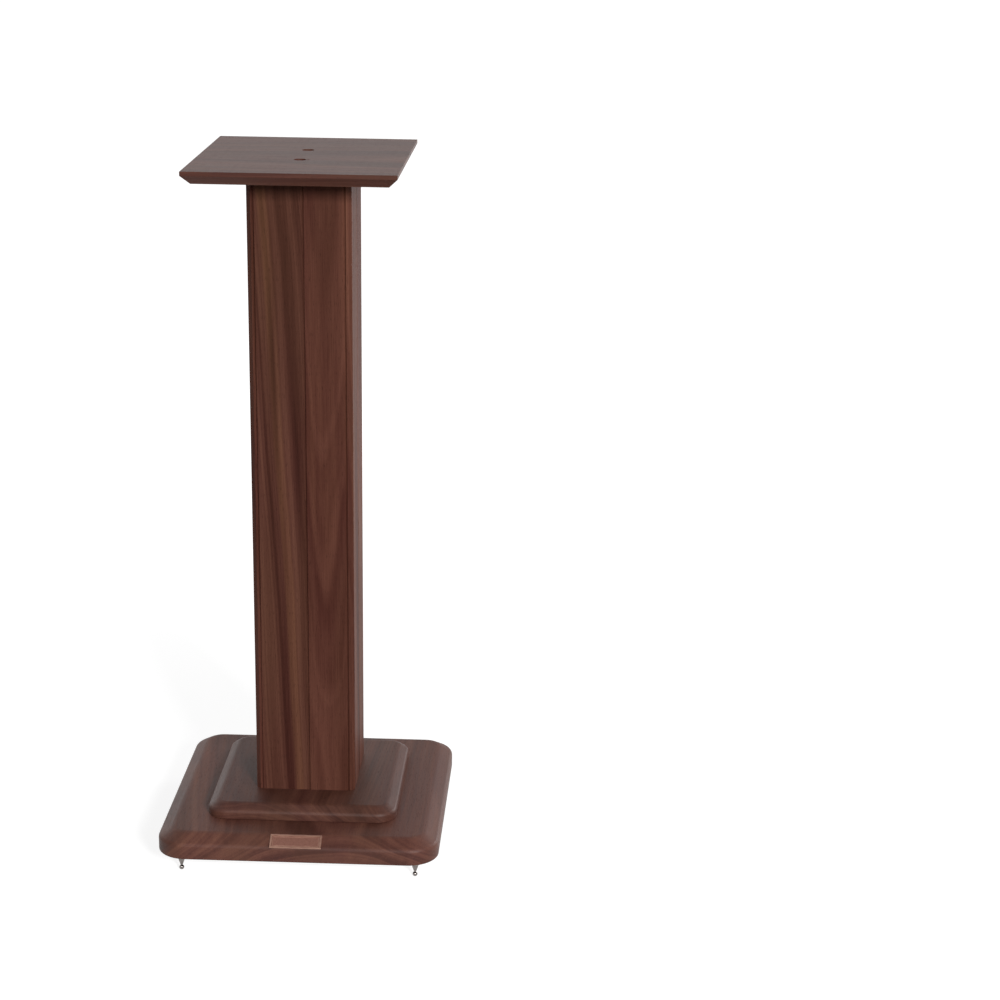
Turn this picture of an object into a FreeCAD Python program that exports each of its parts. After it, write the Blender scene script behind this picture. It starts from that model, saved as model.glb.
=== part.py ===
"""Free-standing speaker stand in solid walnut, modelled as its separate pieces.

Units are millimetres. The origin is on the floor under the middle of the stand, +Z is up and the
front, which carries the nameplate, faces -Y.
"""

import math
import os

import FreeCAD
import Part
from FreeCAD import Vector

# Heights, from the floor up
overall_height = 700.0
foot_height = 21.5
base_edge_height = 16.0
base_bevel_height = 8.0
plinth_edge_height = 9.0
plinth_bevel_height = 6.0
plate_edge_height = 4.0
plate_bevel = 8.5

# Base
base_width = 280.0
base_depth = 280.0
base_corner_radius = 30.0
base_bevel_width = 14.5
base_easing = 1.2

# Plinth between the base and the column
plinth_width = 190.0
plinth_depth = 190.0
plinth_corner_radius = 20.0
plinth_bevel_width = 9.5
plinth_easing = 0.8

# Top plate
plate_width = 200.0
plate_depth = 240.0
plate_easing = 0.6

# Column: four equal panels, each of two boards, and each overlapping the next one's end
column_side = 100.0
board_thickness = 8.0
joint_easing = 1.1
groove_width = 2.6
groove_depth = 1.3
groove_to_joint = 0.4
groove_to_chamfer = 0.8
block_height = 25.0

# Wood screws into the blocks: two down through the top plate, two up through the base and the plinth
screw_spacing = 64.0
screw_diameter = 5.0
screw_head_diameter = 10.0
screw_head_height = 2.5
screw_slot_width = 1.2
screw_slot_depth = 1.2
screw_clearance = 0.1
counterbore_clearance = 1.0
plate_screw_length = 28.0
plate_counterbore_depth = 4.0
base_screw_length = 50.0
base_counterbore_depth = 9.0

# Pilot hole in the top plate, beside the front screw
pilot_offset = 7.8
pilot_diameter = 2.6
pilot_depth = 5.0

# Feet: a threaded insert in the base, a lock nut and a spike that ends in a ball
foot_inset = 23.0
stud_diameter = 6.0
stud_length = 20.0
thread_clearance = 0.05
insert_diameter = 10.0
insert_length = 15.0
insert_hole_extra_depth = 3.0
insert_clearance = 0.05
across_flats = 10.0
nut_height = 5.0
nut_gap = 0.3
collar_height = 3.0
stem_diameter = 6.0
cone_height = 5.5
neck_diameter = 2.2
ball_diameter = 5.0
ball_ring_angle = 45.0

# Nameplate on the front bevel of the base
nameplate_width = 51.0
nameplate_height = 16.0
nameplate_thickness = 1.3
nameplate_drop = 1.0
nameplate_border = 1.8
nameplate_field_depth = 0.5

# Levels and places that follow from the sizes above
base_bottom = foot_height
base_arris = base_bottom + base_edge_height
base_top = base_arris + base_bevel_height
plinth_arris = base_top + plinth_edge_height
plinth_top = plinth_arris + plinth_bevel_height
plate_bottom = overall_height - plate_edge_height - plate_bevel
plate_arris = plate_bottom + plate_bevel
column_half = column_side / 2
column_inside = column_side - 2 * board_thickness
panel_middle = board_thickness / 2
foot_x = base_width / 2 - foot_inset
foot_y = base_depth / 2 - foot_inset
plate_screw_seat = overall_height - plate_counterbore_depth
base_screw_seat = base_bottom + base_counterbore_depth
insert_top = base_bottom + insert_length
nut_bottom = base_bottom - nut_height
collar_top = nut_bottom - nut_gap
screw_hole_diameter = screw_diameter + 2 * screw_clearance
counterbore_diameter = screw_head_diameter + 2 * counterbore_clearance

FACES = ("front", "right", "back", "left")
CORNERS = {
    "front_left": (-foot_x, -foot_y),
    "front_right": (foot_x, -foot_y),
    "back_right": (foot_x, foot_y),
    "back_left": (-foot_x, foot_y),
}
X_AXIS = Vector(1, 0, 0)
Z_AXIS = Vector(0, 0, 1)
CENTRE = Vector(0, 0, 0)
HEXAGON_SIDES = 6
FULL_TURN = 360.0
HALF_TURN = 180.0
QUARTER_TURN = 90.0


def corner_points(width, depth, z):
    """Corners of a rectangle centred on the Z axis, anticlockwise from +X +Y."""
    half_x = width / 2
    half_y = depth / 2
    places = ((half_x, half_y), (-half_x, half_y), (-half_x, -half_y), (half_x, -half_y))
    return [Vector(x, y, z) for x, y in places]


def rectangle(width, depth, z):
    """Closed outline with square corners."""
    points = corner_points(width, depth, z)
    return Part.makePolygon(points + points[:1])


def on_circle(middle, radius, degrees):
    """Point on a level circle."""
    angle = math.radians(degrees)
    return middle + Vector(radius * math.cos(angle), radius * math.sin(angle), 0)


def rounded_rectangle(width, depth, radius, z):
    """Closed outline with a quarter circle at each corner."""
    arcs = []
    for quarter, middle in enumerate(corner_points(width - 2 * radius, depth - 2 * radius, z)):
        start = QUARTER_TURN * quarter
        end = start + QUARTER_TURN
        arcs.append([on_circle(middle, radius, degrees) for degrees in (start, (start + end) / 2, end)])
    edges = []
    for points, following in zip(arcs, arcs[1:] + arcs[:1]):
        edges.append(Part.Arc(*points).toShape())
        edges.append(Part.LineSegment(points[-1], following[0]).toShape())
    return Part.Wire(edges)


def stacked(outlines):
    """Solid with straight sides through outlines that lie one above the other."""
    return Part.makeLoft(outlines, True, True)


def turned(profile):
    """Solid turned about the Z axis from (radius, height) points."""
    points = [Vector(radius, 0, height) for radius, height in profile]
    face = Part.Face(Part.makePolygon(points + points[:1]))
    return face.revolve(CENTRE, Z_AXIS, FULL_TURN)


def upright_rod(diameter, bottom, top, x, y):
    """Cylinder along Z between two heights."""
    return Part.makeCylinder(diameter / 2, top - bottom, Vector(x, y, bottom), Z_AXIS)


def bevelled_slab(width, depth, radius, bevel, bottom, arris, top, easing):
    """Slab with round corners, an upright edge and a gentle bevel above it.

    The lower edge and the arris between the upright edge and the bevel are eased by a narrow flat.
    """
    slope = math.atan2(top - arris, bevel)
    ease_in = easing * math.cos(slope)
    ease_up = easing * math.sin(slope)
    insets_and_heights = (
        (easing, bottom),
        (0, bottom + easing),
        (0, arris - easing),
        (ease_in, arris + ease_up),
        (bevel, top),
    )
    return stacked([
        rounded_rectangle(width - 2 * inset, depth - 2 * inset, radius - inset, z)
        for inset, z in insets_and_heights
    ])


def hexagon(flats, bottom, height):
    """Upright hexagonal prism on the Z axis, measured across its flats."""
    middle = Vector(0, 0, bottom)
    radius = flats / 2 / math.cos(math.pi / HEXAGON_SIDES)
    corners = [on_circle(middle, radius, FULL_TURN * side / HEXAGON_SIDES) for side in range(HEXAGON_SIDES)]
    return Part.Face(Part.makePolygon(corners + corners[:1])).extrude(Vector(0, 0, height))


def screw_places():
    """The screws at either end of the column stand one behind the other on the middle line."""
    half = screw_spacing / 2
    return [(0, -half), (0, half)]


def wood_screw(length):
    """Slotted screw on the Z axis: its head's seat is at z = 0, and the shank points up."""
    head = screw_head_diameter / 2
    screw = turned([
        (0, -screw_head_height),
        (head, -screw_head_height),
        (head, 0),
        (screw_diameter / 2, 0),
        (screw_diameter / 2, length),
        (0, length),
    ])
    slot_corner = Vector(-head, -screw_slot_width / 2, -screw_head_height)
    return screw.cut(Part.makeBox(screw_head_diameter, screw_slot_width, screw_slot_depth, slot_corner))


def make_top_plate():
    """Square-cornered slab with a bevel round its underside and two counterbored screw holes."""
    eased_width = plate_width - 2 * plate_easing
    eased_depth = plate_depth - 2 * plate_easing
    plate = stacked([
        rectangle(plate_width - 2 * plate_bevel, plate_depth - 2 * plate_bevel, plate_bottom),
        rectangle(plate_width, plate_depth, plate_arris),
        rectangle(plate_width, plate_depth, overall_height - plate_easing),
        rectangle(eased_width, eased_depth, overall_height),
    ])
    for x, y in screw_places():
        plate = plate.cut(upright_rod(screw_hole_diameter, plate_bottom, overall_height, x, y))
        plate = plate.cut(upright_rod(counterbore_diameter, plate_screw_seat, overall_height, x, y))
    front_x, front_y = screw_places()[0]
    pilot_bottom = overall_height - pilot_depth
    pilot = upright_rod(pilot_diameter, pilot_bottom, overall_height, front_x + pilot_offset, front_y)
    return plate.cut(pilot)


def make_plate_screws():
    """Two screws driven down through the top plate."""
    screws = []
    for x, y in screw_places():
        screw = wood_screw(plate_screw_length)
        screw.rotate(CENTRE, X_AXIS, HALF_TURN)
        screw.translate(Vector(x, y, plate_screw_seat))
        screws.append(screw)
    return Part.makeCompound(screws)


def board(profile, quarter):
    """Board as long as the column, with the front's plan profile turned to its own side."""
    points = [Vector(x, y, plinth_top) for x, y in profile]
    section = Part.Face(Part.makePolygon(points + points[:1]))
    solid = section.extrude(Vector(0, 0, plate_bottom - plinth_top))
    solid.rotate(CENTRE, Z_AXIS, QUARTER_TURN * quarter)
    return solid


def make_inner_board(quarter):
    """Left-hand board of a panel: it butts against the panel on its left."""
    outside = -column_half
    inside = outside + board_thickness
    start = -column_half + board_thickness
    return board([
        (start, outside),
        (panel_middle - joint_easing, outside),
        (panel_middle, outside + joint_easing),
        (panel_middle, inside),
        (start, inside),
    ], quarter)


def make_corner_board(quarter):
    """Right-hand board of a panel: it carries the chamfered corner and the groove on each side of it."""
    outside = -column_half
    inside = outside + board_thickness
    groove_end = board_thickness - groove_to_joint
    groove_middle = groove_end - groove_width / 2
    groove_start = groove_end - groove_width
    chamfer = groove_start - groove_to_chamfer
    return board([
        (panel_middle, outside + joint_easing),
        (panel_middle + joint_easing, outside),
        (column_half - groove_end, outside),
        (column_half - groove_middle, outside + groove_depth),
        (column_half - groove_start, outside),
        (column_half - chamfer, outside),
        (column_half, outside + chamfer),
        (column_half, outside + groove_start),
        (column_half - groove_depth, outside + groove_middle),
        (column_half, outside + groove_end),
        (column_half, inside),
        (panel_middle, inside),
    ], quarter)


def make_block(bottom, hole_bottom, hole_top):
    """Square block glued inside the column, bored for the two screws that hold the column."""
    corner = Vector(-column_inside / 2, -column_inside / 2, bottom)
    block = Part.makeBox(column_inside, column_inside, block_height, corner)
    for x, y in screw_places():
        block = block.cut(upright_rod(screw_hole_diameter, hole_bottom, hole_top, x, y))
    return block


def make_top_block():
    """Block under the top plate, with blind holes for the plate screws."""
    return make_block(plate_bottom - block_height, plate_screw_seat - plate_screw_length, plate_bottom)


def make_bottom_block():
    """Block on the plinth, with blind holes for the base screws."""
    return make_block(plinth_top, plinth_top, base_screw_seat + base_screw_length)


def make_plinth():
    """Small slab under the column, bored for the base screws."""
    plinth = bevelled_slab(
        plinth_width, plinth_depth, plinth_corner_radius, plinth_bevel_width,
        base_top, plinth_arris, plinth_top, plinth_easing,
    )
    for x, y in screw_places():
        plinth = plinth.cut(upright_rod(screw_hole_diameter, base_top, plinth_top, x, y))
    return plinth


def make_base():
    """Large slab with counterbored screw holes and a blind hole for each threaded insert."""
    base = bevelled_slab(
        base_width, base_depth, base_corner_radius, base_bevel_width,
        base_bottom, base_arris, base_top, base_easing,
    )
    for x, y in screw_places():
        base = base.cut(upright_rod(screw_hole_diameter, base_bottom, base_top, x, y))
        base = base.cut(upright_rod(counterbore_diameter, base_bottom, base_screw_seat, x, y))
    insert_hole = insert_diameter + 2 * insert_clearance
    for x, y in CORNERS.values():
        base = base.cut(upright_rod(insert_hole, base_bottom, insert_top + insert_hole_extra_depth, x, y))
    return base


def make_base_screws():
    """Two screws driven up from under the base."""
    screws = []
    for x, y in screw_places():
        screw = wood_screw(base_screw_length)
        screw.translate(Vector(x, y, base_screw_seat))
        screws.append(screw)
    return Part.makeCompound(screws)


def make_insert(x, y):
    """Threaded sleeve, its lower end flush with the underside of the base."""
    bore = stud_diameter / 2 + thread_clearance
    body = insert_diameter / 2
    insert = turned([
        (bore, base_bottom),
        (body, base_bottom),
        (body, insert_top),
        (bore, insert_top),
    ])
    insert.translate(Vector(x, y, 0))
    return insert


def make_lock_nut(x, y):
    """Hexagon nut against the underside of the base."""
    bore = upright_rod(stud_diameter + 2 * thread_clearance, nut_bottom, base_bottom, 0, 0)
    nut = hexagon(across_flats, nut_bottom, nut_height).cut(bore)
    nut.translate(Vector(x, y, 0))
    return nut


def ball_profile(radius, neck_radius):
    """Points up the profile of the ball, from the small flat it stands on to its neck, in even steps."""
    neck_angle = math.degrees(math.acos(neck_radius / radius))
    rings = []
    angle = ball_ring_angle / 2 - QUARTER_TURN
    while angle < neck_angle:
        rings.append(math.radians(angle))
        angle += ball_ring_angle
    floor = radius * math.sin(rings[0])
    points = [(0, 0)]
    for turn in rings + [math.radians(neck_angle)]:
        points.append((radius * math.cos(turn), radius * math.sin(turn) - floor))
    return points


def make_spike(x, y):
    """Turned foot: a ball on the floor, a thin neck, a cone, a stem, a hexagon for a spanner and a stud."""
    ball = ball_profile(ball_diameter / 2, neck_diameter / 2)
    neck_height = ball[-1][-1]
    collar_bottom = collar_top - collar_height
    lower = turned(ball + [
        (stem_diameter / 2, neck_height + cone_height),
        (stem_diameter / 2, collar_bottom),
        (0, collar_bottom),
    ])
    stud = upright_rod(stud_diameter, collar_top, collar_top + stud_length, 0, 0)
    spike = lower.fuse([hexagon(across_flats, collar_bottom, collar_height), stud]).removeSplitter()
    spike.translate(Vector(x, y, 0))
    return spike


def make_nameplate():
    """Thin plate with a raised border, laid on the front bevel of the base, its field left bare."""
    half_width = nameplate_width / 2
    half_height = nameplate_height / 2
    plate = Part.makeBox(
        nameplate_width, nameplate_height, nameplate_thickness, Vector(-half_width, -half_height, 0))
    field_corner = Vector(
        nameplate_border - half_width,
        nameplate_border - half_height,
        nameplate_thickness - nameplate_field_depth,
    )
    field = Part.makeBox(
        nameplate_width - 2 * nameplate_border,
        nameplate_height - 2 * nameplate_border,
        nameplate_field_depth,
        field_corner,
    )
    plate = plate.cut(field)
    slope = math.degrees(math.atan2(base_bevel_height, base_bevel_width))
    plate.translate(Vector(0, -nameplate_drop, 0))
    plate.rotate(CENTRE, X_AXIS, slope)
    middle_y = -base_depth / 2 + base_bevel_width / 2
    middle_z = base_arris + base_bevel_height / 2
    plate.translate(Vector(0, middle_y, middle_z))
    return plate


def main():
    os.makedirs("parts", exist_ok=True)
    pieces = {
        "base": make_base(),
        "plinth": make_plinth(),
        "nameplate": make_nameplate(),
        "column_bottom_block": make_bottom_block(),
        "column_top_block": make_top_block(),
        "top_plate": make_top_plate(),
        "top_plate_screws": make_plate_screws(),
        "base_screws": make_base_screws(),
    }
    for quarter, face in enumerate(FACES):
        pieces[face + "_inner_board"] = make_inner_board(quarter)
        pieces[face + "_corner_board"] = make_corner_board(quarter)
    for corner, (x, y) in CORNERS.items():
        pieces[corner + "_insert"] = make_insert(x, y)
        pieces[corner + "_lock_nut"] = make_lock_nut(x, y)
        pieces[corner + "_spike"] = make_spike(x, y)
    for name, shape in pieces.items():
        shape.exportStep("parts/" + name + ".step")


main()
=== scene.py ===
import math

import bmesh
import bpy
from mathutils import Euler, Matrix, Vector


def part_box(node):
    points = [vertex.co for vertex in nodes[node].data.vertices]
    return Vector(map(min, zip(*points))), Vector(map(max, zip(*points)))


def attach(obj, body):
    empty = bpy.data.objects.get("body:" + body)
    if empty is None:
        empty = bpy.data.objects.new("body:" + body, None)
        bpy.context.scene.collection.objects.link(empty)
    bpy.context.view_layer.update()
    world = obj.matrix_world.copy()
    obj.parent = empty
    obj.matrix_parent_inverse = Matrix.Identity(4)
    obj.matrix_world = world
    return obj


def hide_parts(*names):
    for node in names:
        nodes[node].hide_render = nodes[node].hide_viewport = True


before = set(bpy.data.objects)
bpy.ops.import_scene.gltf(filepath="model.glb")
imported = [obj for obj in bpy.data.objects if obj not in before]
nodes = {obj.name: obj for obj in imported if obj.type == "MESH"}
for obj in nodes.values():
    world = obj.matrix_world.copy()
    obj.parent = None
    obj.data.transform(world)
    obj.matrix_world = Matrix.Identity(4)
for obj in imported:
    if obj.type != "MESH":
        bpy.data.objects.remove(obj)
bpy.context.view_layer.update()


# ---------------------------------------------------------------------------------------------
# BASE. A thick walnut slab, 280 mm square, with round corners and a gentle bevel that a router
# table cut round its top. Its grain runs from front to back, so the front shows end grain.
# ---------------------------------------------------------------------------------------------

base_corner_radius = 0.030
base_edge_height = 0.016
base_bevel_width = 0.0145
base_rounding = 0.003
screw_spacing = 0.064
counterbore_diameter = 0.012
screw_hole_diameter = 0.0052
base_counterbore_depth = 0.009
foot_place = 0.117
insert_hole_diameter = 0.0101
insert_hole_depth = 0.018
screw_rows = (-screw_spacing / 2, screw_spacing / 2)
drill_excess = 0.001
hair = 0.0001
shade_angle = math.radians(35)

# The share of Z above which a direction counts as upright, and the one below which it counts as level
upright_above = 0.9
level_below = 0.1


def lay_block(low, high):
    """Starts a piece as a cuboid between two corners, in edit mode."""
    bpy.ops.object.select_all(action="DESELECT")
    bpy.ops.mesh.primitive_cube_add(size=1, location=(low + high) / 2, scale=high - low)
    bpy.ops.object.transform_apply(location=True, rotation=True, scale=True)
    bpy.ops.object.mode_set(mode="EDIT")
    return bpy.context.object


def choose_edges(piece, wanted):
    """Selects the edges whose middle and direction pass the test."""
    bpy.ops.mesh.select_mode(type="EDGE")
    bpy.ops.mesh.select_all(action="DESELECT")
    mesh = bmesh.from_edit_mesh(piece.data)
    for edge in mesh.edges:
        start, end = (corner.co for corner in edge.verts)
        edge.select_set(wanted((start + end) / 2, (end - start).normalized()))
    bmesh.update_edit_mesh(piece.data)


def choose_faces(piece, wanted):
    """Selects the faces whose middle and normal pass the test."""
    bpy.ops.mesh.select_mode(type="FACE")
    bpy.ops.mesh.select_all(action="DESELECT")
    mesh = bmesh.from_edit_mesh(piece.data)
    for face in mesh.faces:
        face.select_set(wanted(face.calc_center_median(), face.normal))
    bmesh.update_edit_mesh(piece.data)


def pick(piece):
    """Selects this object alone and makes it the active one."""
    bpy.ops.object.select_all(action="DESELECT")
    piece.select_set(True)
    bpy.context.view_layer.objects.active = piece


def dress(piece, kind, **settings):
    """Adds a modifier to the piece and applies it."""
    modifier = piece.modifiers.new(kind.lower(), kind)
    for setting, value in settings.items():
        setattr(modifier, setting, value)
    pick(piece)
    bpy.ops.object.modifier_apply(modifier=modifier.name)


def bore(piece, x, y, bottom, top, diameter):
    """Drills an upright round hole."""
    bpy.ops.object.select_all(action="DESELECT")
    bpy.ops.mesh.primitive_cylinder_add(
        vertices=48, radius=diameter / 2, depth=top - bottom, location=(x, y, (top + bottom) / 2))
    drill = bpy.context.object
    dress(piece, "BOOLEAN", object=drill, operation="DIFFERENCE", solver="EXACT")
    bpy.data.objects.remove(drill)


def soften(piece, width):
    """Rounds every edge a little, as sandpaper does."""
    dress(piece, "BEVEL", width=width, segments=4, limit_method="ANGLE", angle_limit=math.radians(20))


def settle(piece):
    """Shades the curves smooth, and keeps flat faces flat and sharp edges sharp."""
    pick(piece)
    bpy.ops.object.shade_smooth_by_angle(angle=shade_angle)
    dress(piece, "WEIGHTED_NORMAL", mode="FACE_AREA", keep_sharp=True)


def route_slab(node, edge_height, corner_radius, bevel_width, rounding):
    """Slab in the place of a node, with round corners and a bevel round its top.

    Its upper edges are rounded, and the edge round its bottom is rounded less.
    """
    low, high = (Vector(corner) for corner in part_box(node))
    bevel_height = high.z - low.z - edge_height
    bottom_rounding = rounding * 0.4
    slab = lay_block(low, high - Vector((0, 0, bevel_height)))
    choose_edges(slab, lambda middle, direction: abs(direction.z) > upright_above)
    bpy.ops.mesh.bevel(offset=corner_radius, segments=16, affect="EDGES")
    choose_faces(slab, lambda middle, normal: normal.z > upright_above)
    bpy.ops.mesh.inset(thickness=bevel_width)
    bpy.ops.transform.translate(value=(0, 0, bevel_height))
    choose_edges(
        slab, lambda middle, direction: abs(direction.z) < level_below and middle.z > low.z + hair)
    bpy.ops.mesh.bevel(offset=rounding, segments=4, affect="EDGES")
    choose_edges(slab, lambda middle, direction: middle.z < low.z + hair)
    bpy.ops.mesh.bevel(offset=bottom_rounding, segments=3, affect="EDGES")
    bpy.ops.object.mode_set(mode="OBJECT")
    slab.name = node.replace("_", " ").title().replace(" ", "_")
    return slab


class Shade:
    """A value in a material. Arithmetic on it adds Math nodes, and node() adds any other node."""

    def __init__(self, tree, socket=None):
        self.tree = tree
        self.socket = socket

    def node(self, kind, settings, values, output=0):
        """Adds a node: its settings go in first, then the values or links of its sockets."""
        made = self.tree.nodes.new(kind)
        for setting, value in settings.items():
            if setting == "stops":
                ramp = made.color_ramp
                for element, (position, colour) in zip(ramp.elements, (value[0], value[-1])):
                    element.position = position
                    element.color = (*colour, 1)
                for position, colour in value[1:-1]:
                    ramp.elements.new(position).color = (*colour, 1)
            else:
                setattr(made, setting, value)
        for entry, value in values.items():
            if isinstance(value, Shade):
                self.tree.links.new(value.socket, made.inputs[entry])
            else:
                made.inputs[entry].default_value = value
        return Shade(self.tree, made.outputs[output])

    def maths(self, operation, first, second=0.0):
        """Adds a Math node."""
        return self.node("ShaderNodeMath", {"operation": operation}, {0: first, 1: second})

    def __add__(self, other):
        return self.maths("ADD", self, other)

    __radd__ = __add__

    def __sub__(self, other):
        return self.maths("SUBTRACT", self, other)

    def __rsub__(self, other):
        return self.maths("SUBTRACT", other, self)

    def __mul__(self, other):
        return self.maths("MULTIPLY", self, other)

    def root(self):
        """Square root of the value."""
        return self.maths("SQRT", self)

    def size(self):
        """The value without its sign."""
        return self.maths("ABSOLUTE", self)

    def noise(self, scale, detail=2.0, output=0):
        """Noise over this place, with a scale for each axis. Output 0 is its value and 1 its colour."""
        spread = self.node("ShaderNodeVectorMath", {"operation": "MULTIPLY"}, {0: self, 1: scale})
        values = {"Vector": spread, "Scale": 1.0, "Detail": detail}
        return self.node("ShaderNodeTexNoise", {}, values, output)

    def axis(self, name):
        """The X, Y or Z part of this place."""
        return self.node("ShaderNodeSeparateXYZ", {}, {0: self}, name)

    def mask(self, low, high):
        """0 below the low value and 1 above the high one, with a smooth step between."""
        return self.node(
            "ShaderNodeMapRange", {"interpolation_type": "SMOOTHSTEP"},
            {"Value": self, "From Min": low, "From Max": high})

    def blend(self, first, second):
        """Colour that goes from the first to the second as this value goes from 0 to 1."""
        factor, first_colour, second_colour, mixed_colour = 0, 6, 7, 2
        values = {factor: self, first_colour: first, second_colour: second}
        return self.node("ShaderNodeMix", {"data_type": "RGBA"}, values, mixed_colour)


def screen(red, green, blue):
    """Linear colour of a screen's 0 to 255 values."""
    return tuple((part / 255) ** 2.2 for part in (red, green, blue)) + (1,)


def new_material(name):
    """Material with its shader, and the empty value that its other nodes start from."""
    material = bpy.data.materials.new(name)
    material.use_nodes = True
    return material, material.node_tree.nodes["Principled BSDF"], Shade(material.node_tree)


def feed(shader, values):
    """Sets or links the shader's own sockets."""
    for entry, value in values.items():
        if isinstance(value, Shade):
            value.tree.links.new(value.socket, shader.inputs[entry])
        else:
            shader.inputs[entry].default_value = value


# The browns of walnut as screen colours, from its darkest markings to its palest wood
walnut_browns = (
    (0.08, (45, 21, 17)),
    (0.36, (72, 41, 35)),
    (0.54, (93, 58, 49)),
    (0.74, (112, 74, 61)),
    (0.95, (140, 100, 78)),
)


def walnut(name, turn, shift, heart, lean, shade, figure, polish, light_band=(0.0, 0.01), light=0.0):
    """Walnut, cut from a trunk whose heart line runs along the turned Z axis.

    shift moves the noise, so that no two pieces look alike. shade makes all the browns darker or paler.
    heart is where the heart line passes, and lean is how far it drifts for each metre of grain.
    figure is the strength of the markings, and polish the specular level and the roughness.
    light_band is how far from the heart a paler band of growth lies and half its width, and light
    is how strong that band is.
    """
    material, shader, start = new_material(name)
    place = start.node("ShaderNodeTexCoord", {}, {}, "Object")
    place = place.node("ShaderNodeMapping", {}, {"Vector": place, "Rotation": turn})
    moved = place.node("ShaderNodeVectorMath", {"operation": "ADD"}, {0: place, 1: shift})

    # The rings lie round a heart line that wanders a little
    wander = moved.noise((9, 9, 2.2), output=1)
    wander = wander.node("ShaderNodeVectorMath", {"operation": "SUBTRACT"}, {0: wander, 1: (0.5, 0.5, 0.5)})
    wander = wander.node("ShaderNodeVectorMath", {"operation": "SCALE"}, {0: wander, "Scale": 0.022})
    drift = place.node("ShaderNodeVectorMath", {"operation": "ADD"}, {0: place, 1: wander})
    along = place.axis("Z")
    across = drift.axis("X") - heart[0] + along * lean[0]
    deep = drift.axis("Y") - heart[1] + along * lean[1]
    radius = (across * across + deep * deep).root()
    growth = radius.node("ShaderNodeCombineXYZ", {}, {"X": radius, "Y": shift[0], "Z": along * 0.012})

    # Markings from the widest to the finest, all along the grain
    wide_rings = growth.noise((120, 1, 120), 1.0) - 0.5
    fine_rings = growth.noise((520, 1, 90), 2.0) - 0.5
    streak = moved.noise((120, 120, 2.6), 3.0) - 0.5
    broad = moved.noise((15, 15, 2.0), 2.0) - 0.5
    fibre = moved.noise((1500, 1500, 22), 2.0) - 0.5
    rings = wide_rings * 0.85 + fine_rings * 0.55
    tone = 0.5 + (rings + streak * 0.35 + broad * 0.5) * figure + fibre * 0.28
    stops = [
        (position, screen(*(part * shade for part in colour))[:3]) for position, colour in walnut_browns]
    brown = tone.node("ShaderNodeValToRGB", {"stops": stops}, {0: tone})

    # A pale band of growth, a faint olive tint in patches, and dark open pores
    band = 1 - (radius - light_band[0]).size().mask(light_band[1] * 0.4, light_band[1])
    warm = (band * (0.6 + streak * 2.0) * light).blend(brown, screen(140, 98, 70))
    tint = moved.noise((22, 22, 3.0), 1.0).mask(0.35, 0.65)
    tinted = (tint * 0.18).blend(warm, screen(78, 56, 38))
    pores = moved.noise((2300, 2300, 130), 1.0).mask(0.60, 0.72)
    feed(shader, {
        "Base Color": (pores * 0.45).blend(tinted, screen(30, 14, 9)),
        "Roughness": polish[1] + fibre * 0.25 + pores * 0.1,
        "Specular IOR Level": polish[0],
    })
    height = fibre * 0.5 - pores * 0.6
    bump = height.node("ShaderNodeBump", {}, {"Height": height, "Strength": 0.35, "Distance": 0.0002})
    feed(shader, {"Normal": bump})
    return material


def finish_in(piece, material):
    """Gives the whole piece one finish."""
    piece.data.materials.clear()
    piece.data.materials.append(material)


grain_front_to_back = (math.radians(90), 0, 0)
grain_side_to_side = (math.radians(90), math.radians(-90), 0)

base_low, base_high = (Vector(corner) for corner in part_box("base"))
base = route_slab("base", base_edge_height, base_corner_radius, base_bevel_width, base_rounding)
for row in screw_rows:
    bore(base, 0, row,
         base_low.z - drill_excess, base_low.z + base_counterbore_depth, counterbore_diameter)
    bore(base, 0, row, base_low.z, base_high.z + drill_excess, screw_hole_diameter)
for x in (-foot_place, foot_place):
    for y in (-foot_place, foot_place):
        bore(base, x, y, base_low.z - drill_excess, base_low.z + insert_hole_depth, insert_hole_diameter)
settle(base)
finish_in(base, walnut(
    "Base_Walnut", grain_front_to_back, shift=(0.31, 0.02, 0.12), heart=(0.03, 0.14), lean=(0.06, 0.05),
    shade=0.96, figure=0.7, polish=(0.25, 0.53)))
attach(base, "stand")
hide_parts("base")


# ---------------------------------------------------------------------------------------------
# INSERTS. Four brass sleeves with an M6 thread inside, driven into the underside of the base near
# its corners. The lock nuts cover their ends.
# ---------------------------------------------------------------------------------------------


def metal(name, bright, dull, roughness, grain=(300, 300, 300), depth=0.00002):
    """Metal with a faint cloudiness in its colour and its polish. grain and depth shape its dents."""
    material, shader, start = new_material(name)
    place = start.node("ShaderNodeTexCoord", {}, {}, "Object")
    cloud = place.noise(grain, 3.0)
    feed(shader, {
        "Base Color": cloud.mask(0.35, 0.65).blend(dull, bright),
        "Roughness": roughness + (cloud - 0.5) * 0.2,
        "Metallic": 1.0,
        "Normal": cloud.node("ShaderNodeBump", {}, {"Height": cloud, "Strength": 0.2, "Distance": depth}),
    })
    return material


foot_places = {
    "front_left": (-foot_place, -foot_place, 0),
    "front_right": (foot_place, -foot_place, 0),
    "back_right": (foot_place, foot_place, 0),
    "back_left": (-foot_place, foot_place, 0),
}
insert_brass = metal("Insert_Brass", screen(196, 160, 92), screen(172, 136, 74), 0.35)
for foot in foot_places:
    finish_in(nodes[foot + "_insert"], insert_brass)


# ---------------------------------------------------------------------------------------------
# PLINTH. A smaller walnut slab, 190 mm square, glued on the base. It has the same round corners
# and gentle bevel, and its grain runs from front to back too.
# ---------------------------------------------------------------------------------------------

plinth_corner_radius = 0.020
plinth_edge_height = 0.009
plinth_bevel_width = 0.0095
plinth_rounding = 0.0024

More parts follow.
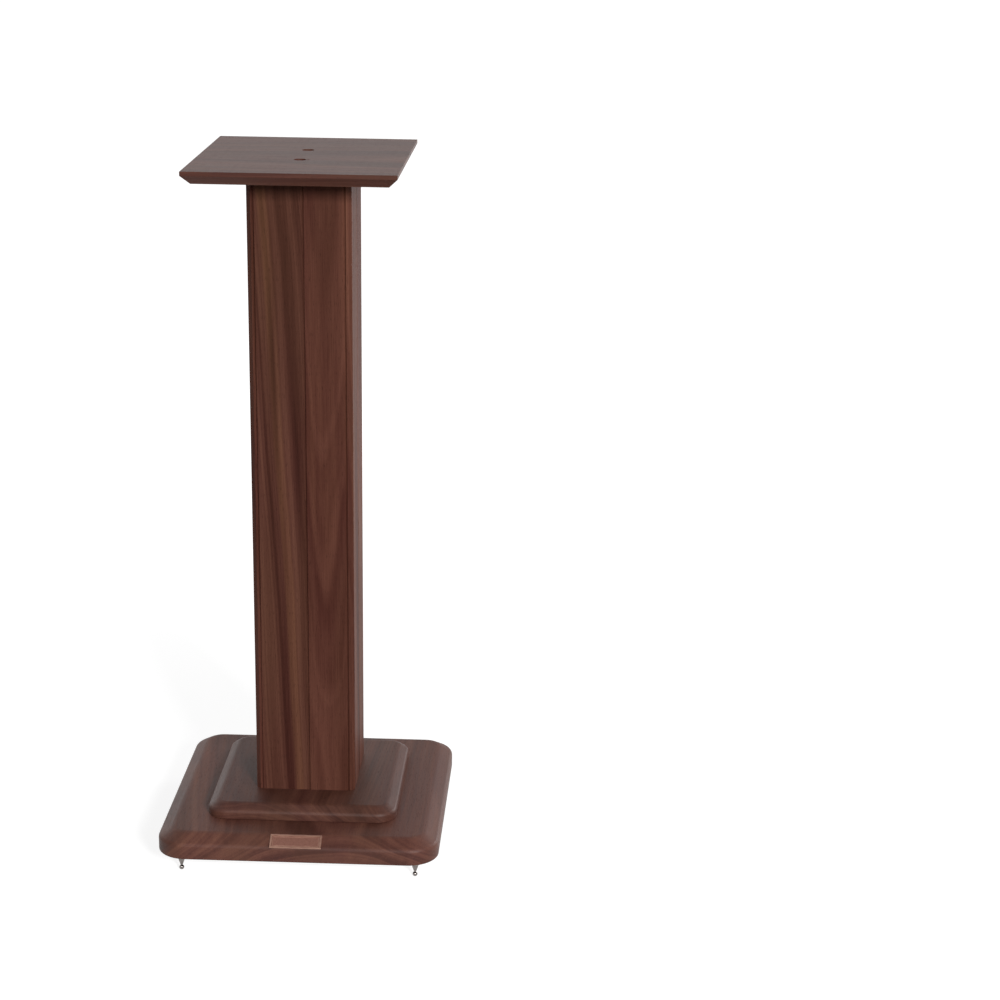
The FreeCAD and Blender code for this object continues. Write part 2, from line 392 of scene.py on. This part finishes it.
plinth_low, plinth_high = (Vector(corner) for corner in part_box("plinth"))
plinth = route_slab(
    "plinth", plinth_edge_height, plinth_corner_radius, plinth_bevel_width, plinth_rounding)
for row in screw_rows:
    bore(plinth, 0, row, plinth_low.z - drill_excess, plinth_high.z + drill_excess, screw_hole_diameter)
settle(plinth)
finish_in(plinth, walnut(
    "Plinth_Walnut", grain_front_to_back, shift=(0.87, 0.05, 0.42), heart=(-0.05, 0.08), lean=(-0.05, 0.04),
    shade=0.85, figure=0.75, polish=(0.25, 0.51)))
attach(plinth, "stand")
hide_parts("plinth")


# ---------------------------------------------------------------------------------------------
# COLUMN BLOCKS. Two plain square blocks glued inside the ends of the column, which the wood
# screws bite into. They are hidden, so their walnut is sawn and left without oil.
# ---------------------------------------------------------------------------------------------

for number, node in enumerate(("column_bottom_block", "column_top_block")):
    finish_in(nodes[node], walnut(
        "Block_Walnut_%d" % number, grain_side_to_side, shift=(0.5 * number, 0.1, 0.3),
        heart=(0.05, 0.12), lean=(0.02, 0.02), shade=1.12, figure=1.0, polish=(0.05, 0.75)))


# ---------------------------------------------------------------------------------------------
# BASE SCREWS. Two long slotted wood screws of blacked steel, driven up from under the base through
# the plinth into the bottom block. Their domed heads sit deep in round holes.
# ---------------------------------------------------------------------------------------------

screw_head_radius = 0.005
screw_head_height = 0.0025
screw_radius = 0.0025
screw_slot = 0.0012
screw_thread_pitch = 0.0022
screw_thread_depth = 0.0007
base_screw_length = 0.050
weld_distance = 0.000001


def trace(points):
    """Draws a line through (radius, height) points in the XZ plane, and stays in edit mode.

    It starts from a small plane whose corners are merged into the first point.
    """
    bpy.ops.object.select_all(action="DESELECT")
    bpy.ops.mesh.primitive_plane_add(size=0.001)
    bpy.ops.object.mode_set(mode="EDIT")
    bpy.ops.mesh.select_mode(type="VERT")
    bpy.ops.mesh.merge(type="CENTER")
    bpy.ops.transform.translate(value=(points[0][0], 0, points[0][1]))
    for (radius, height), (next_radius, next_height) in zip(points, points[1:]):
        step = (next_radius - radius, 0, next_height - height)
        bpy.ops.mesh.extrude_region_move(TRANSFORM_OT_translate={"value": step})
    return bpy.context.object


def tidy_skin():
    """Merges doubled points and turns every face outwards, in edit mode, then leaves it."""
    bpy.ops.mesh.select_all(action="SELECT")
    bpy.ops.mesh.remove_doubles(threshold=weld_distance)
    bpy.ops.mesh.normals_make_consistent(inside=False)
    bpy.ops.object.mode_set(mode="OBJECT")


def turn_on_lathe(points, steps=40):
    """Solid turned from a line that starts and ends on the Z axis."""
    piece = trace(points)
    bpy.ops.mesh.select_all(action="SELECT")
    bpy.ops.mesh.spin(steps=steps, angle=math.tau, center=(0, 0, 0), axis=(0, 0, 1))
    tidy_skin()
    return piece


def cut_thread(radius, depth, pitch, bottom, top):
    """Threaded rod on the Z axis: one turn's outline wound up in a helix and cut square at both ends.

    The helix starts a hair more than one turn low, so that neither cut meets a point of the mesh.
    """
    root = radius - depth
    turns = math.ceil((top - bottom) / pitch) + 2
    low = bottom - 1.006 * pitch
    crest_start = low + 0.36 * pitch
    crest_end = low + 0.50 * pitch
    root_start = low + 0.86 * pitch
    rod = trace((
        (root, low), (radius, crest_start), (radius, crest_end), (root, root_start), (root, low + pitch)))
    bpy.ops.object.mode_set(mode="OBJECT")
    dress(rod, "SCREW", angle=math.tau, screw_offset=pitch, iterations=turns, steps=32, render_steps=32,
          use_merge_vertices=True, merge_threshold=weld_distance)
    bpy.ops.object.mode_set(mode="EDIT")
    bpy.ops.mesh.select_mode(type="VERT")
    for level, above in ((bottom, False), (top, True)):
        bpy.ops.mesh.select_all(action="SELECT")
        bpy.ops.mesh.bisect(
            plane_co=(0, 0, level), plane_no=(0, 0, 1), threshold=weld_distance,
            use_fill=True, clear_outer=above, clear_inner=not above)
    tidy_skin()
    return rod


def put_together(name, pieces):
    """Makes one object of several."""
    bpy.ops.object.select_all(action="DESELECT")
    for piece in pieces:
        piece.select_set(True)
    bpy.context.view_layer.objects.active = pieces[0]
    bpy.ops.object.join()
    pieces[0].name = name
    return pieces[0]


def place_copy(piece, name, turn, place):
    """Copy with a mesh of its own, turned and moved to its place."""
    copy = bpy.data.objects.new(name, piece.data.copy())
    bpy.context.scene.collection.objects.link(copy)
    copy.data.transform(Matrix.Translation(place) @ Matrix.Rotation(turn, 4, "X"))
    return copy


def make_wood_screw(name, length):
    """Slotted screw with its head's seat at the origin and its shank pointing up.

    The thread starts inside the plain shank, and the point inside the thread.
    """
    top = screw_head_height
    core = screw_radius - screw_thread_depth
    thread_start = 0.39 * length
    shank_end = 0.4 * length
    point_start = 0.88 * length
    thread_end = 0.91 * length
    head = turn_on_lathe((
        (0, -top), (0.0022, -0.97 * top), (0.0036, -0.86 * top), (0.0045, -0.62 * top),
        (screw_head_radius, -0.22 * top), (screw_head_radius, 0), (screw_radius, 0),
        (screw_radius, shank_end), (0, shank_end)))
    bpy.ops.object.select_all(action="DESELECT")
    bpy.ops.mesh.primitive_cube_add(
        size=1, location=(0, 0, -top), scale=(3 * screw_head_radius, screw_slot, 2 * screw_slot))
    saw = bpy.context.object
    dress(head, "BOOLEAN", object=saw, operation="DIFFERENCE", solver="EXACT")
    bpy.data.objects.remove(saw)
    thread = cut_thread(screw_radius, screw_thread_depth, screw_thread_pitch, thread_start, thread_end)
    point = turn_on_lathe(((0, point_start), (core, point_start), (core, thread_end), (0, length)))
    screw = put_together(name, [head, thread, point])
    bpy.ops.object.shade_smooth_by_angle(angle=shade_angle)
    return screw


screw_black = metal("Screw_Black", screen(44, 41, 40), screen(27, 25, 24), 0.40)
pattern = make_wood_screw("Base_Screw_Pattern", base_screw_length)
base_screws = put_together("Base_Screws", [
    place_copy(pattern, "Base_Screw", 0, (0, row, base_low.z + base_counterbore_depth))
    for row in screw_rows])
bpy.data.objects.remove(pattern)
finish_in(base_screws, screw_black)
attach(base_screws, "stand")
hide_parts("base_screws")


# ---------------------------------------------------------------------------------------------
# COLUMN BOARDS. Eight walnut boards, 8 mm thick, glued round in a pinwheel: on each side a plain
# inner board and a corner board that carries the chamfer and a narrow groove on each side of it.
# ---------------------------------------------------------------------------------------------

sides = ("front", "right", "back", "left")
inner_hearts = ((0.075, -0.03), (-0.06, 0.02), (0.09, 0.01), (-0.08, -0.02))
inner_leans = ((0.055, 0.01), (0.03, 0.02), (-0.045, 0.012), (0.05, 0.0))
inner_shades = (0.86, 0.94, 0.92, 0.90)
inner_figures = (0.78, 1.2, 0.95, 1.05)
inner_bands = ((0.078, 0.006), (0.05, 0.008), (0.1, 0.007), (0.07, 0.008))
corner_hearts = ((0.028, 0.016), (0.02, 0.03), (0.034, 0.012), (0.026, 0.02))
corner_leans = ((0.004, 0.03), (-0.01, 0.03), (0.006, -0.032), (0.0, 0.034))
corner_bands = ((0.052, 0.006), (0.1, 0.01), (0.045, 0.006), (0.09, 0.008))
board_polish = (0.06, 0.58)
next_side_shift = 1.3
corner_board_shift = 6.1

for quarter, side in enumerate(sides):
    own_turn = (0, 0, math.radians(-90 * quarter))
    finish_in(nodes[side + "_inner_board"], walnut(
        side.title() + "_Inner_Board_Walnut", own_turn, shift=(0, 0, next_side_shift * quarter),
        heart=inner_hearts[quarter], lean=inner_leans[quarter],
        shade=inner_shades[quarter], figure=inner_figures[quarter], polish=board_polish,
        light_band=inner_bands[quarter], light=0.22))
    finish_in(nodes[side + "_corner_board"], walnut(
        side.title() + "_Corner_Board_Walnut", own_turn,
        shift=(0, 0, next_side_shift * quarter + corner_board_shift),
        heart=corner_hearts[quarter], lean=corner_leans[quarter],
        shade=0.95, figure=0.65, polish=board_polish,
        light_band=corner_bands[quarter], light=0.08))


# ---------------------------------------------------------------------------------------------
# TOP PLATE. A walnut board, 200 by 240 mm, with square corners and a bevel planed round its
# underside. Two screws in deep round holes hold it, and its grain runs from side to side.
# ---------------------------------------------------------------------------------------------

plate_bevel = 0.0085
plate_rounding = 0.0007
plate_counterbore_depth = 0.004
pilot_place = 0.0078
pilot_diameter = 0.0026
pilot_depth = 0.005

plate_low, plate_high = (Vector(corner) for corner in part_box("top_plate"))
plate = lay_block(plate_low, plate_high)
choose_edges(plate, lambda middle, direction: middle.z < plate_low.z + hair)
bpy.ops.mesh.bevel(offset=plate_bevel, segments=1, affect="EDGES")
bpy.ops.object.mode_set(mode="OBJECT")
plate.name = "Top_Plate"
for row in screw_rows:
    bore(plate, 0, row,
         plate_high.z - plate_counterbore_depth, plate_high.z + drill_excess, counterbore_diameter)
    bore(plate, 0, row, plate_low.z - drill_excess, plate_high.z, screw_hole_diameter)
bore(plate, pilot_place, screw_rows[0],
     plate_high.z - pilot_depth, plate_high.z + drill_excess, pilot_diameter)
soften(plate, plate_rounding)
settle(plate)
finish_in(plate, walnut(
    "Top_Plate_Walnut", grain_side_to_side, shift=(0.21, 0.7, 0.55), heart=(0.02, -0.62), lean=(0.03, 0.05),
    shade=0.90, figure=0.8, polish=(0.15, 0.44)))
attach(plate, "stand")
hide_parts("top_plate")


# ---------------------------------------------------------------------------------------------
# TOP PLATE SCREWS. Two shorter screws of the same kind, driven down into the top block.
# Their slots lie across the stand.
# ---------------------------------------------------------------------------------------------

plate_screw_length = 0.028

pattern = make_wood_screw("Plate_Screw_Pattern", plate_screw_length)
plate_screws = put_together("Top_Plate_Screws", [
    place_copy(pattern, "Plate_Screw", math.pi, (0, row, plate_high.z - plate_counterbore_depth))
    for row in screw_rows])
bpy.data.objects.remove(pattern)
finish_in(plate_screws, screw_black)
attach(plate_screws, "stand")
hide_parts("top_plate_screws")


# ---------------------------------------------------------------------------------------------
# LOCK NUTS. Four steel M6 nuts, tightened against the underside of the base to hold the spikes
# where they are set. Their corners are chamfered on both faces.
# ---------------------------------------------------------------------------------------------

across_flats = 0.010
nut_height = 0.005
stud_radius = 0.003
thread_clearance = 0.00005
countersink_depth = 0.0004
countersink_excess = 0.0002
metal_shade_angle = math.radians(25)


def make_hexagon(bottom, top):
    """Hexagon on the Z axis whose corners are turned down to a slope on both faces."""
    excess = 0.0001
    face_share = 0.96
    slope_share = 0.6
    corner_radius = across_flats / 2 / math.cos(math.pi / 6)
    bpy.ops.object.select_all(action="DESELECT")
    bpy.ops.mesh.primitive_cylinder_add(
        vertices=6, radius=corner_radius, depth=top - bottom,
        location=(0, 0, (top + bottom) / 2), rotation=(0, 0, math.radians(30)))
    hexagon = bpy.context.object
    bpy.ops.object.transform_apply(location=True, rotation=True, scale=True)
    flat = across_flats / 2 * face_share
    slope = (corner_radius - flat) * slope_share
    lens = turn_on_lathe((
        (0, bottom - excess), (flat - 2 * excess, bottom - excess),
        (corner_radius + 2 * excess, bottom + slope), (corner_radius + 2 * excess, top - slope),
        (flat - 2 * excess, top + excess), (0, top + excess)), 64)
    dress(hexagon, "BOOLEAN", object=lens, operation="INTERSECT", solver="EXACT")
    bpy.data.objects.remove(lens)
    bpy.ops.object.mode_set(mode="EDIT")
    tidy_skin()
    return hexagon


nut_top = base_low.z
nut_bottom = nut_top - nut_height
bore_radius = stud_radius + thread_clearance
mouth_radius = bore_radius + (countersink_depth + countersink_excess)
nut_pattern = make_hexagon(nut_bottom, nut_top)
reamer = turn_on_lathe((
    (0, nut_bottom - countersink_excess), (mouth_radius, nut_bottom - countersink_excess),
    (bore_radius, nut_bottom + countersink_depth), (bore_radius, nut_top - countersink_depth),
    (mouth_radius, nut_top + countersink_excess), (0, nut_top + countersink_excess)))
dress(nut_pattern, "BOOLEAN", object=reamer, operation="DIFFERENCE", solver="EXACT")
bpy.data.objects.remove(reamer)
bpy.ops.object.shade_smooth_by_angle(angle=metal_shade_angle)

nut_steel = metal("Nut_Steel", screen(150, 149, 150), screen(118, 117, 119), 0.30)
for foot, place in foot_places.items():
    nut = place_copy(nut_pattern, foot.title() + "_Lock_Nut", 0, place)
    finish_in(nut, nut_steel)
    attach(nut, "stand")
    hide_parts(foot + "_lock_nut")
bpy.data.objects.remove(nut_pattern)


# ---------------------------------------------------------------------------------------------
# SPIKES. Four polished steel feet, each turned in one piece: a ball to stand on, a thin neck, a
# cone, a hexagon for the spanner and an M6 stud that screws up into the insert.
# ---------------------------------------------------------------------------------------------

ball_radius = 0.0025
neck_radius = 0.0011
neck_flare = 0.00008
neck_bottom = 0.0048
neck_top = 0.0052
cone_top = 0.0102
collar_bottom = 0.0132
collar_top = 0.0162
stud_top = 0.0362
stud_pitch = 0.001
stud_thread_depth = 0.0005
stud_plain_start = 0.0008
stud_plain_end = 0.0004
stem_easing = 0.0002
stem_relief = 0.0003
overlap = 0.0001

ball = [
    (ball_radius * math.cos(math.radians(angle)), ball_radius + ball_radius * math.sin(math.radians(angle)))
    for angle in range(-80, 61, 10)]
spike_foot = turn_on_lathe([(0, 0)] + ball + [
    (neck_radius, neck_bottom), (neck_radius + neck_flare, neck_top),
    (stud_radius - stem_easing, cone_top - 2 * stem_easing), (stud_radius, cone_top + stem_easing / 2),
    (stud_radius, collar_bottom - 2 * stem_easing),
    (stud_radius - stem_relief, collar_bottom - stem_easing),
    (stud_radius - stem_relief, collar_bottom + overlap), (0, collar_bottom + overlap)], 48)
collar = make_hexagon(collar_bottom, collar_top)
stud_core_radius = stud_radius - stud_thread_depth
stud_core = turn_on_lathe((
    (0, collar_top - overlap), (stud_core_radius, collar_top - overlap),
    (stud_core_radius, stud_top), (0, stud_top)))
stud = cut_thread(
    stud_radius, stud_thread_depth, stud_pitch, collar_top + stud_plain_start, stud_top - stud_plain_end)
spike_pattern = put_together("Spike_Pattern", [spike_foot, collar, stud_core, stud])
bpy.ops.object.shade_smooth_by_angle(angle=metal_shade_angle)

spike_steel = metal("Spike_Steel", screen(136, 131, 128), screen(112, 107, 104), 0.16)
for foot, place in foot_places.items():
    spike = place_copy(spike_pattern, foot.title() + "_Spike", 0, place)
    finish_in(spike, spike_steel)
    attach(spike, foot + "_foot")
    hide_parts(foot + "_spike")
bpy.data.objects.remove(spike_pattern)


# ---------------------------------------------------------------------------------------------
# NAMEPLATE. A small cast copper plate with a raised border, stuck on the front bevel of the base.
# Its field is left bare: stippled, a little darker, with one fine raised line round it.
# ---------------------------------------------------------------------------------------------

nameplate_width = 0.051
nameplate_height = 0.016
nameplate_thickness = 0.0013
nameplate_drop = 0.001
nameplate_border = 0.0018
nameplate_field_depth = 0.0005
nameplate_rounding = 0.00012
rule_inset = 0.0008
rule_width = 0.0004
rule_height = nameplate_field_depth * 0.5

nameplate = lay_block(
    Vector((-nameplate_width / 2, -nameplate_height / 2 - nameplate_drop, 0)),
    Vector((nameplate_width / 2, nameplate_height / 2 - nameplate_drop, nameplate_thickness)))
choose_faces(nameplate, lambda middle, normal: normal.z > upright_above)
bpy.ops.mesh.inset(thickness=nameplate_border)
bpy.ops.mesh.extrude_region_move(TRANSFORM_OT_translate={"value": (0, 0, -nameplate_field_depth)})
bpy.ops.mesh.inset(thickness=rule_inset)
bpy.ops.mesh.extrude_region_move(TRANSFORM_OT_translate={"value": (0, 0, rule_height)})
bpy.ops.mesh.inset(thickness=rule_width)
bpy.ops.mesh.extrude_region_move(TRANSFORM_OT_translate={"value": (0, 0, -rule_height)})
bpy.ops.object.mode_set(mode="OBJECT")
nameplate.name = "Nameplate"
soften(nameplate, nameplate_rounding)
settle(nameplate)

border_copper = metal(
    "Nameplate_Border_Copper", screen(176, 138, 122), screen(148, 112, 98), 0.38, (120, 2200, 2200))
field_copper = metal(
    "Nameplate_Field_Copper", screen(154, 113, 100), screen(118, 81, 71), 0.50, (2600, 2600, 2600), 0.00008)
finish_in(nameplate, border_copper)
nameplate.data.materials.append(field_copper)
field_below = nameplate_thickness - nameplate_field_depth * 0.9
for face in nameplate.data.polygons:
    if face.normal.z > upright_above and face.center.z < field_below:
        face.material_index = 1

bevel_slope = math.atan2(base_high.z - base_low.z - base_edge_height, base_bevel_width)
bevel_middle = Vector((
    0, base_low.y + base_bevel_width / 2, (base_low.z + base_edge_height + base_high.z) / 2))
nameplate.data.transform(Matrix.Translation(bevel_middle) @ Matrix.Rotation(bevel_slope, 4, "X"))
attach(nameplate, "stand")
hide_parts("nameplate")


# ---------------------------------------------------------------------------------------------
# STUDIO. A plain pale floor that fades into a white background, a soft lamp in front on the
# right, two weaker ones behind, and the camera.
# ---------------------------------------------------------------------------------------------

white = (1, 1, 1, 1)
black = (0, 0, 0, 1)
floor_near_glow = (0.85, 0.85, 0.85, 1)
floor_grey = (0.25, 0.25, 0.25, 1)
floor_seen_grey = (0.35, 0.35, 0.35, 1)
fade_start = 0.3
fade_end = 1.5
backdrop_light = 0.18
lamp_size = 0.9
lamp_target = Vector((0, 0, 0.35))


def seen_directly(start):
    """1 where the camera sees it, also in a reflection or through glass, and 0 where it only lights."""
    rays = "ShaderNodeLightPath"
    seen = start.node(rays, {}, {}, "Is Camera Ray") + start.node(rays, {}, {}, "Is Glossy Ray")
    return (seen + start.node(rays, {}, {}, "Is Transmission Ray")).mask(0.0, 1.0)


bpy.ops.object.select_all(action="DESELECT")
bpy.ops.mesh.primitive_plane_add(size=80)
floor = bpy.context.object
floor.name = "Floor"
floor_paint, floor_shader, start = new_material("Floor_Paint")
seen = seen_directly(start)
away = start.node("ShaderNodeTexCoord", {}, {}, "Object")
away = away.node("ShaderNodeVectorMath", {"operation": "LENGTH"}, {0: away}, "Value")
glow = away.mask(fade_start, fade_end).blend(floor_near_glow, white)
feed(floor_shader, {
    "Base Color": seen.blend(floor_grey, floor_seen_grey),
    "Emission Color": seen.blend(black, glow),
    "Emission Strength": 1.0,
    "Roughness": 0.9,
    "Specular IOR Level": 0.0,
})
finish_in(floor, floor_paint)

world = bpy.data.worlds.new("Studio")
bpy.context.scene.world = world
world.use_nodes = True
backdrop = world.node_tree.nodes["Background"]
seen = seen_directly(Shade(world.node_tree))
feed(backdrop, {"Color": white, "Strength": backdrop_light + seen * (1 - backdrop_light)})


def hang_lamp(name, place, power):
    """Square soft lamp that looks at the stand."""
    lamp = bpy.data.lights.new(name, "AREA")
    lamp.size = lamp_size
    lamp.energy = power
    holder = bpy.data.objects.new(name, lamp)
    bpy.context.scene.collection.objects.link(holder)
    holder.location = place
    holder.rotation_euler = (lamp_target - place).to_track_quat("-Z", "Y").to_euler()


hang_lamp("Front_Lamp", Vector((2.1, -4.53, 2.05)), 295)
hang_lamp("Right_Lamp", Vector((2.3, 2.1, 0.95)), 40)
hang_lamp("Left_Lamp", Vector((-2.2, 2.2, 1.0)), 13)

# The camera looks along +Y, turned a little to its left, tipped down and rolled a little
camera_place = (0.27380, -2.20186, 1.02133)
camera_turn = 2.1138
camera_tip = 16.7453
camera_roll = 0.749
camera_lens = 82.815

view = bpy.data.cameras.new("Camera")
view.sensor_width = 36
view.lens = camera_lens
camera = bpy.data.objects.new("Camera", view)
bpy.context.scene.collection.objects.link(camera)
camera.location = camera_place
turned = Matrix.Rotation(math.radians(camera_turn), 3, "Z")
tipped = Euler((math.radians(90 - camera_tip), 0, 0)).to_matrix()
rolled = Matrix.Rotation(math.radians(camera_roll), 3, "Z")
camera.rotation_euler = (turned @ tipped @ rolled).to_euler()
bpy.context.scene.camera = camera
bpy.context.scene.view_settings.view_transform = "Standard"
